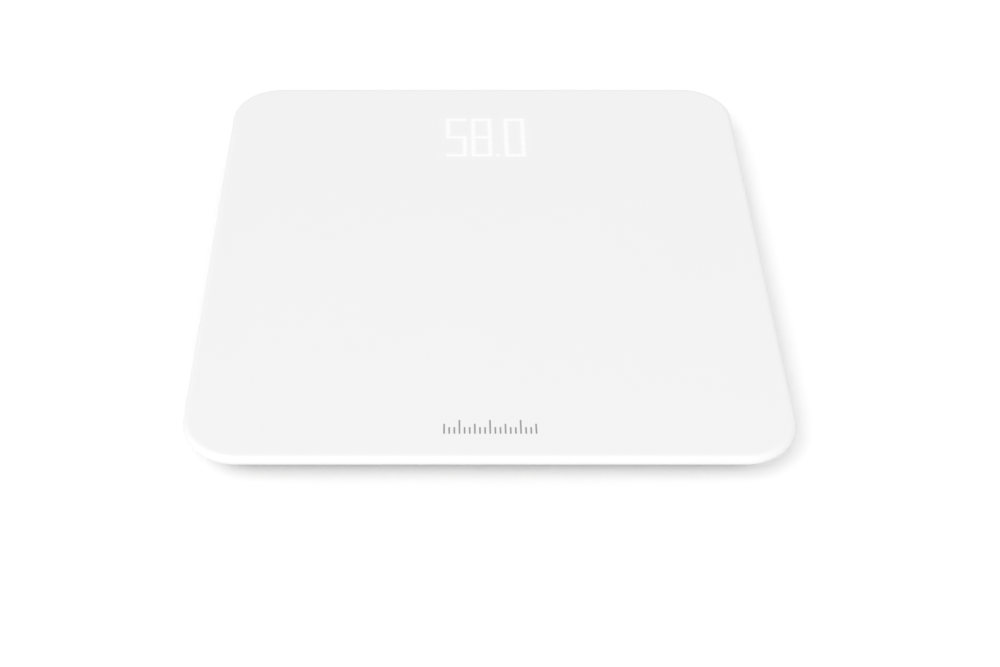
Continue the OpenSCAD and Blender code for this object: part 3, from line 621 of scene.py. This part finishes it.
def makeBosses():
    # tubes under the skin of the platform that the screws of the tray and of the display bite into
    b = boss
    under = span("platform_cover").high.z - platform["skin"] + b["intoSkin"]
    boardTop = span("display_board").high.z
    small = span("display_screws")
    outX, outY = small.size.x / 2 - b["smallHead"], small.size.y / 2 - b["smallHead"]
    spots = [(x, y, b["outer"], b["bore"], b["foot"]) for x, y in screwSpots]
    spots += [(small.middle.x + sx * outX, small.middle.y + sy * outY,
               b["smallOuter"], b["smallBore"], boardTop) for sx in (-1, 1) for sy in (-1, 1)]
    bm = bmesh.new()
    for x, y, outer, bore, end in spots:
        tube = [(bore, under), (bore, end + b["boreEdge"]), (bore + b["boreEdge"], end),
                (outer - b["outerEdge"], end), (outer, end + b["outerEdge"]), (outer, under)]
        lathe(bm, tube, (x, y), 32)
    addPiece("platformBosses", finishMesh(bm, "platformBosses"), [looks["platform_abs"]])


makeScrews()
makeBosses()
print("screws made")


foot = {"wall": 1.8 * mm, "floor": 1.8 * mm, "fillet": 0.5 * mm, "rimShare": 0.69, "padGap": 0.2 * mm,
        "recessEdge": 0.2 * mm, "postRadius": 4.5 * mm, "edge": 0.5 * mm, "grooves": (5 * mm, 9 * mm),
        "grooveHalf": 0.5 * mm, "grooveDepth": 0.6 * mm, "grooveEdge": 0.15 * mm,
        "screwHead": 1.6 * mm, "screwShank": 1.45 * mm, "steps": 72}


def makeCup(corner):
    # a shallow cup with a recess for the pad below and a post for the screw above
    f = foot
    node = "foot_cup_" + corner
    cup, pad = span(node), span("foot_pad_" + corner)
    outer, bottom, post = cup.size.x / 2, cup.low.z, f["postRadius"]
    rim = bottom + (cup.high.z - bottom) * f["rimShare"]
    inner, recess = outer - f["wall"], pad.size.x / 2 + f["padGap"]
    floorTop = pad.high.z + f["floor"]
    e, fillet = f["edge"], f["fillet"]
    profile = [(0, pad.high.z), (recess, pad.high.z), (recess, bottom + f["recessEdge"]),
               (recess + f["recessEdge"], bottom)]
    profile += arc(outer - e, bottom + e, e, -90, 0, 5) + arc(outer - e, rim - e, e, 0, 90, 4)
    profile += [(inner, rim), (inner, floorTop + fillet), (inner - fillet, floorTop),
                (post + fillet, floorTop), (post, floorTop + fillet), (post, cup.high.z),
                (0, cup.high.z)]
    bm = bmesh.new()
    lathe(bm, profile, (cup.middle.x, cup.middle.y), f["steps"])
    addPiece(camel(node), finishMesh(bm, "footCup"), [looks["foot_abs"]],
             stands=[node])


def makePad(corner):
    # a rubber disc with ring grooves in its face
    f = foot
    node = "foot_pad_" + corner
    pad = span(node)
    radius, face, top = pad.size.x / 2, pad.low.z, pad.high.z
    deep, edge = face + f["grooveDepth"], f["grooveEdge"]
    profile = [(0, face)]
    for groove in f["grooves"]:
        near, far = groove - f["grooveHalf"], groove + f["grooveHalf"]
        profile += [(near - edge, face), (near, face + edge), (near, deep),
                    (far, deep), (far, face + edge), (far + edge, face)]
    profile += arc(radius - f["edge"], face + f["edge"], f["edge"], -90, 0, 5)
    profile += [(radius, top), (0, top)]
    bm = bmesh.new()
    lathe(bm, profile, (pad.middle.x, pad.middle.y), f["steps"])
    addPiece(camel(node), finishMesh(bm, "footPad"), [looks["pad_rubber"]],
             stands=[node])


def makeFootScrew(corner):
    f = foot
    node = "foot_screw_" + corner
    box = span(node)
    mesh = screwMesh(box.size.z - f["screwHead"], box.size.x / 2, f["screwHead"], f["screwShank"])
    place = (box.middle.x, box.middle.y, box.high.z - f["screwHead"], True)
    addPiece(camel(node), manyOf(mesh, [place], "footScrew"), [looks["screw_steel"]],
             stands=[node])


for corner in corners:
    makeCup(corner)
    makePad(corner)
    makeFootScrew(corner)
print("feet made")


door = {"thickness": 1.9 * mm, "corner": 1.2 * mm, "edge": 0.25 * mm, "ridges": 5,
        "ridgesFrom": 11.5 * mm, "ridgePitch": 2 * mm, "ridgeHalf": 0.5 * mm, "ridgeWidth": 18 * mm,
        "ridgeDepth": 0.4 * mm, "tabWidth": 8 * mm, "tabIn": 12 * mm, "tabDeep": 2 * mm,
        "hookUnder": 0.2 * mm, "hookEdge": 0.3 * mm, "softEdge": 0.12 * mm}
latch = {"width": 12 * mm, "length": 7 * mm, "slot": 0.4 * mm, "wall": 1.4 * mm, "nose": 1.1 * mm,
         "edge": 0.2 * mm, "noseEdge": 0.25 * mm, "dentHalf": 4 * mm, "dentFrom": 2.2 * mm,
         "dentTo": 5 * mm, "dentDepth": 0.5 * mm, "dentCorner": 0.8 * mm}
hinge = Vector(next(j for j in frame["joints"] if j["name"] == "battery_door_hinge")["pos_m"])
past = 1 * mm  # how far a cutting shape goes past the face that it cuts


def makeDoor():
    # a plate with a notch for the latch, grip grooves, and two hooked tabs at the hinge
    d = door
    box = span("battery_door")
    bottom, plateTop, end = hinge.z, hinge.z + d["thickness"], box.high.y
    bm, notch, grips, tabs, hooks = [bmesh.new() for _ in range(5)]
    block(bm, (box.low.x, hinge.y, bottom), (box.high.x, end, plateTop), upright=d["corner"],
          rounding=d["edge"])
    notchHalf = latch["width"] / 2 + latch["slot"]
    block(notch, (-notchHalf, end - latch["length"], bottom - past),
          (notchHalf, end + past, box.high.z + past))
    for i in range(d["ridges"]):
        y = end - d["ridgesFrom"] - i * d["ridgePitch"]
        block(grips, (-d["ridgeWidth"] / 2, y - d["ridgeHalf"], bottom - past),
              (d["ridgeWidth"] / 2, y + d["ridgeHalf"], bottom + d["ridgeDepth"]), upright=0.4 * mm)
    for side in (-1, 1):
        x = side * (box.size.x / 2 - d["tabIn"])
        west, east, back = x - d["tabWidth"] / 2, x + d["tabWidth"] / 2, hinge.y + d["tabDeep"]
        block(tabs, (west, hinge.y, bottom + 1 * mm), (east, back, box.high.z - 0.4 * mm))
        block(hooks, (west, box.low.y, plateTop + d["hookUnder"]), (east, back, box.high.z),
              rounding=d["hookEdge"])
    mesh = carve(finishMesh(bm, "batteryDoor"),
                 [("DIFFERENCE", notch), ("DIFFERENCE", grips), ("UNION", tabs), ("UNION", hooks)])
    piece = addPiece("batteryDoor", mesh, [looks["base_abs"]], "battery_door",
                     ["battery_door"])
    softEdges(piece, d["softEdge"])


def makeLatch():
    # a spring finger with a wall across its end, a nose that catches and a dent for a fingertip
    t = latch
    box = span("door_latch")
    bottom, plateTop, end = hinge.z, hinge.z + door["thickness"], span("battery_door").high.y
    wallFrom = end - t["wall"]
    bm, wall, nose, dent = [bmesh.new() for _ in range(4)]
    block(bm, (box.low.x, box.low.y, bottom), (box.high.x, end, plateTop), rounding=t["edge"])
    block(wall, (box.low.x, wallFrom, bottom + 0.3 * mm), (box.high.x, end, box.high.z),
          rounding=t["edge"])
    block(nose, (box.low.x, wallFrom, box.high.z - t["nose"]), box.high, rounding=t["noseEdge"])
    block(dent, (-t["dentHalf"], end - t["dentTo"], bottom - past),
          (t["dentHalf"], end - t["dentFrom"], bottom + t["dentDepth"]), upright=t["dentCorner"])
    mesh = carve(finishMesh(bm, "doorLatch"), [("UNION", wall), ("UNION", nose), ("DIFFERENCE", dent)])
    piece = addPiece("doorLatch", mesh, [looks["base_abs"]], "battery_door",
                     ["door_latch"])
    softEdges(piece, door["softEdge"])


button = {"face": 4.5 * mm, "flange": 1.2 * mm, "rounding": 0.4 * mm, "flangeEdge": 0.1 * mm,
          "dish": [(0, 0.15 * mm), (0.55, 0.12 * mm), (0.8, 0.03 * mm)]}  # share of the radius, depth


def makeButton():
    # a round button with a dished face, kept in by a flange
    b = button
    box = span("unit_button")
    face, flange, e, r = b["face"], box.size.x / 2, b["flangeEdge"], b["rounding"]
    low, high = box.low.z, box.high.z
    shoulder = high - b["flange"]
    profile = [(face * share, low + deep) for share, deep in b["dish"]]
    profile += arc(face - r, low + r, r, -90, 0, 5)
    profile += [(face, shoulder), (flange - e, shoulder), (flange, shoulder + e),
                (flange, high - e), (flange - e, high), (0, high)]
    bm = bmesh.new()
    lathe(bm, profile, (box.middle.x, box.middle.y), 64)
    addPiece("unitButton", finishMesh(bm, "unitButton"), [looks["button_grey"]], "unit_button",
             ["unit_button"])


label = {"corner": 2 * mm}


def makeLabel():
    low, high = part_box("blank_label")
    bm = bmesh.new()
    block(bm, low, high, upright=label["corner"])
    addPiece("blankLabel", finishMesh(bm, "blankLabel"), [looks["label_foil"]],
             stands=["blank_label"])


makeDoor()
makeLatch()
makeButton()
makeLabel()
print("door, button and label made")


battery = {"capRadius": 1.9 * mm, "capHeight": 0.8 * mm, "capEdge": 0.2 * mm, "shoulder": 0.7 * mm,
           "band": 9 * mm, "sleeveLap": 1.0 * mm, "sleeveEnd": 1.05 * mm, "seamOut": 1.1 * mm,
           "seamIn": 1.5 * mm, "seamEnd": 1.6 * mm, "seamDepth": 0.15 * mm}
spring = {"wire": 0.3 * mm, "turns": 4, "wide": 3.2 * mm, "narrow": 2.0 * mm, "pointsPerTurn": 24}


def makeBattery(node, way):
    # turned from its positive tip, with a seam round each end inside the edge of the sleeve
    b = battery
    box = span(node)
    radius, length = box.size.y / 2, box.size.x
    cap, top, e, chamfer = b["capRadius"], b["capHeight"], b["shoulder"], b["capEdge"]
    lap, seamOut, seamIn, seamEnd = [radius - b[k] for k in ("sleeveLap", "seamOut", "seamIn", "seamEnd")]
    profile = [(0, 0), (cap - chamfer, 0), (cap, chamfer), (cap, top), (seamEnd, top),
               (seamIn, top + b["seamDepth"]), (seamOut, top + b["seamDepth"]), (lap, top)]
    profile += arc(radius - e, top + e, e, -90, 0, 5)
    profile += [(radius, b["band"])]
    profile += arc(radius - e, length - e, e, 0, 90, 5)
    profile += [(lap, length), (seamOut, length - b["seamDepth"]),
                (seamIn, length - b["seamDepth"]), (seamEnd, length), (0, length)]
    bm = bmesh.new()
    lathe(bm, profile, steps=64)
    for face in bm.faces:
        spot = face.calc_center_median()
        sleeved = math.hypot(spot.x, spot.y) > radius - b["sleeveEnd"]
        face.material_index = 0 if not sleeved else 1 if spot.z < b["band"] else 2
    tip = box.high.x if way > 0 else box.low.x
    place = Matrix.Translation((tip, box.middle.y, box.middle.z))
    place = place @ Matrix.Rotation(-way * math.pi / 2, 4, "Y")
    bmesh.ops.transform(bm, matrix=place, verts=bm.verts[:])
    addPiece(camel(node), finishMesh(bm, node),
             [looks["nickel_plate"], bandCopper, looks["battery_wrap"]],
             stands=[node])


def makeSprings(ways):
    # a conical coil at the flat end of each cell: a ring is carried along the helix
    s = spring
    plates = span("battery_springs")
    steps = s["turns"] * s["pointsPerTurn"]
    bm = bmesh.new()
    for node, way in ways.items():
        cell = span(node)
        plate, end = (plates.low.x, cell.low.x) if way > 0 else (plates.high.x, cell.high.x)
        length = abs(end - plate) - 2 * s["wire"]
        ring = bmesh.ops.create_circle(bm, cap_ends=False, radius=s["wire"], segments=8)["verts"]
        edges = list({e for v in ring for e in v.link_edges})
        previous = Matrix.Identity(4)
        for i in range(steps + 1):
            share = i / steps
            radius = s["wide"] + (s["narrow"] - s["wide"]) * share
            rise = plate + way * (s["wire"] + length * share)
            angle = way * share * s["turns"] * 2 * math.pi
            here = (Matrix.Translation((rise, cell.middle.y, cell.middle.z))
                    @ Matrix.Rotation(angle, 4, "X") @ Matrix.Translation((0, radius, 0)))
            if i:
                made = bmesh.ops.extrude_edge_only(bm, edges=edges)
                ring = [g for g in made["geom"] if isinstance(g, bmesh.types.BMVert)]
                edges = [g for g in made["geom"] if isinstance(g, bmesh.types.BMEdge)]
            bmesh.ops.transform(bm, matrix=here @ previous.inverted(), verts=ring)
            previous = here
    bmesh.ops.holes_fill(bm, edges=[e for e in bm.edges if e.is_boundary], sides=8)
    addPiece("batterySprings", finishMesh(bm, "batterySprings"), [looks["spring_steel"]],
             stands=["battery_springs"])


cellWays = {"battery_1": 1, "battery_2": -1, "battery_3": 1}  # 1 where the tip points to +x
for node, way in cellWays.items():
    makeBattery(node, way)
makeSprings(cellWays)
print("batteries made")


def islands(bm):
    # lists of faces that hang together
    left, found = set(bm.faces), []
    while left:
        todo = [left.pop()]
        group = []
        while todo:
            face = todo.pop()
            group.append(face)
            for edge in face.edges:
                for other in edge.link_faces:
                    if other in left:
                        left.remove(other)
                        todo.append(other)
        found.append(group)
    return found


def refine(node, edge=0.0, materials=None, smoothAngle=35):
    # a CAD node's own shape with its triangles joined, its curves smooth and its edges broken;
    # with several materials they go round its separate solids, counted outwards from the middle
    bm = bmesh.new()
    bm.from_mesh(frame["nodes"][node].data)
    bmesh.ops.remove_doubles(bm, verts=bm.verts[:], dist=2e-6)
    bmesh.ops.dissolve_limit(bm, angle_limit=math.radians(0.5), verts=bm.verts[:], edges=bm.edges[:])
    for face in bm.faces:
        face.material_index = 0
    if materials and len(materials) > 1:
        groups = sorted(islands(bm), key=lambda g: min(f.calc_center_median().length for f in g))
        for i, group in enumerate(groups):
            for face in group:
                face.material_index = i % len(materials)
    piece = addPiece(camel(node), finishMesh(bm, node, smoothAngle), materials or [looks[slots[node]]],
                     body_of(frame["nodes"][node])[0], [node])
    if edge:
        softEdges(piece, edge)


slots = {s["node"]: s["material_slot"] for s in frame["record"]["subparts"]}
brokenEdges = {"stiffener_plate": 0.15, "contact_plates": 0.05, "battery_leads": 0, "main_board": 0.08,
               "controller_chip": 0.12, "board_parts": 0.08, "cell_headers": 0.15, "board_screws": 0.08,
               "unit_switch": 0.15, "switch_plunger": 0.15, "display_board": 0.08, "display_leds": 0.08,
               "display_mask": 0.1, "display_header": 0.12, "display_cable": 0, "display_screws": 0.06,
               "holder_screws": 0.12}  # in mm
cornerEdges = {"load_cell_": 0.12, "cell_holder_": 0.2, "strain_gauge_": 0.12}  # in mm
for node, edge in brokenEdges.items():
    refine(node, edge * mm)
refine("base_housing", smoothAngle=30)
for corner in corners:
    for kind, edge in cornerEdges.items():
        refine(kind + corner, edge * mm)
    refine("cell_wires_" + corner, 0, [looks["cell_wire_jacket"], looks["lead_jacket"], wireWhite])
print("inner pieces made")


studio = {"floorSize": 12.0, "floorTone": 0.935, "world": 0.77, "keyStrength": 1.28, "keySoftness": 40,
          "keyFrom": (-0.42, -0.75, 1.2), "fillPower": 1.8, "fillSize": 0.9,
          "fillPlace": (-0.1, -1.3, 0.75)}


def makeStudio():
    s = studio
    bm = bmesh.new()
    bmesh.ops.create_grid(bm, x_segments=1, y_segments=1, size=s["floorSize"])
    mesh = bpy.data.meshes.new("floor")
    bm.to_mesh(mesh)
    bm.free()
    floor = bpy.data.objects.new("floor", mesh)
    bpy.context.scene.collection.objects.link(floor)
    tone = grey(s["floorTone"])
    floor.data.materials.append(plastic("floorPaint", tone, tone, (0.7, 0.8), 40.0, 0.0))

    world = bpy.data.worlds.new("studioWorld")
    world.use_nodes = True
    world.node_tree.nodes["Background"].inputs["Color"].default_value = (1, 1, 1, 1)
    world.node_tree.nodes["Background"].inputs["Strength"].default_value = s["world"]
    bpy.context.scene.world = world

    def lamp(name, kind, place, **settings):
        light = bpy.data.lights.new(name, kind)
        for key, value in settings.items():
            setattr(light, key, value)
        holder = bpy.data.objects.new(name, light)
        holder.location = place
        holder.rotation_euler = (-Vector(place)).to_track_quat("-Z", "Y").to_euler()
        bpy.context.scene.collection.objects.link(holder)

    lamp("keyLight", "SUN", s["keyFrom"], energy=s["keyStrength"], angle=math.radians(s["keySoftness"]))
    lamp("fillLight", "AREA", s["fillPlace"], energy=s["fillPower"], size=s["fillSize"], shape="DISK")
    scene = bpy.context.scene
    scene.view_settings.view_transform = "Standard"
    scene.view_settings.look = "None"
    scene.view_settings.exposure = 0.0


viewpoint = {"sensor": 36.0, "lens": 54.75, "shiftX": 0.0507, "pitchDown": 44.65,
             "aside": -19.8 * mm, "back": -622.2 * mm, "above": 550.3 * mm}


def makeCamera():
    v = viewpoint
    data = bpy.data.cameras.new("camera")
    data.sensor_width = v["sensor"]
    data.lens = v["lens"]
    data.shift_x = v["shiftX"]
    data.clip_start = 0.01
    camera = bpy.data.objects.new("camera", data)
    camera.location = (v["aside"], v["back"], span("platform_cover").high.z + v["above"])
    camera.rotation_euler = (math.radians(90 - v["pitchDown"]), 0, 0)
    bpy.context.scene.collection.objects.link(camera)
    bpy.context.scene.camera = camera


makeStudio()
makeCamera()
print("studio made")
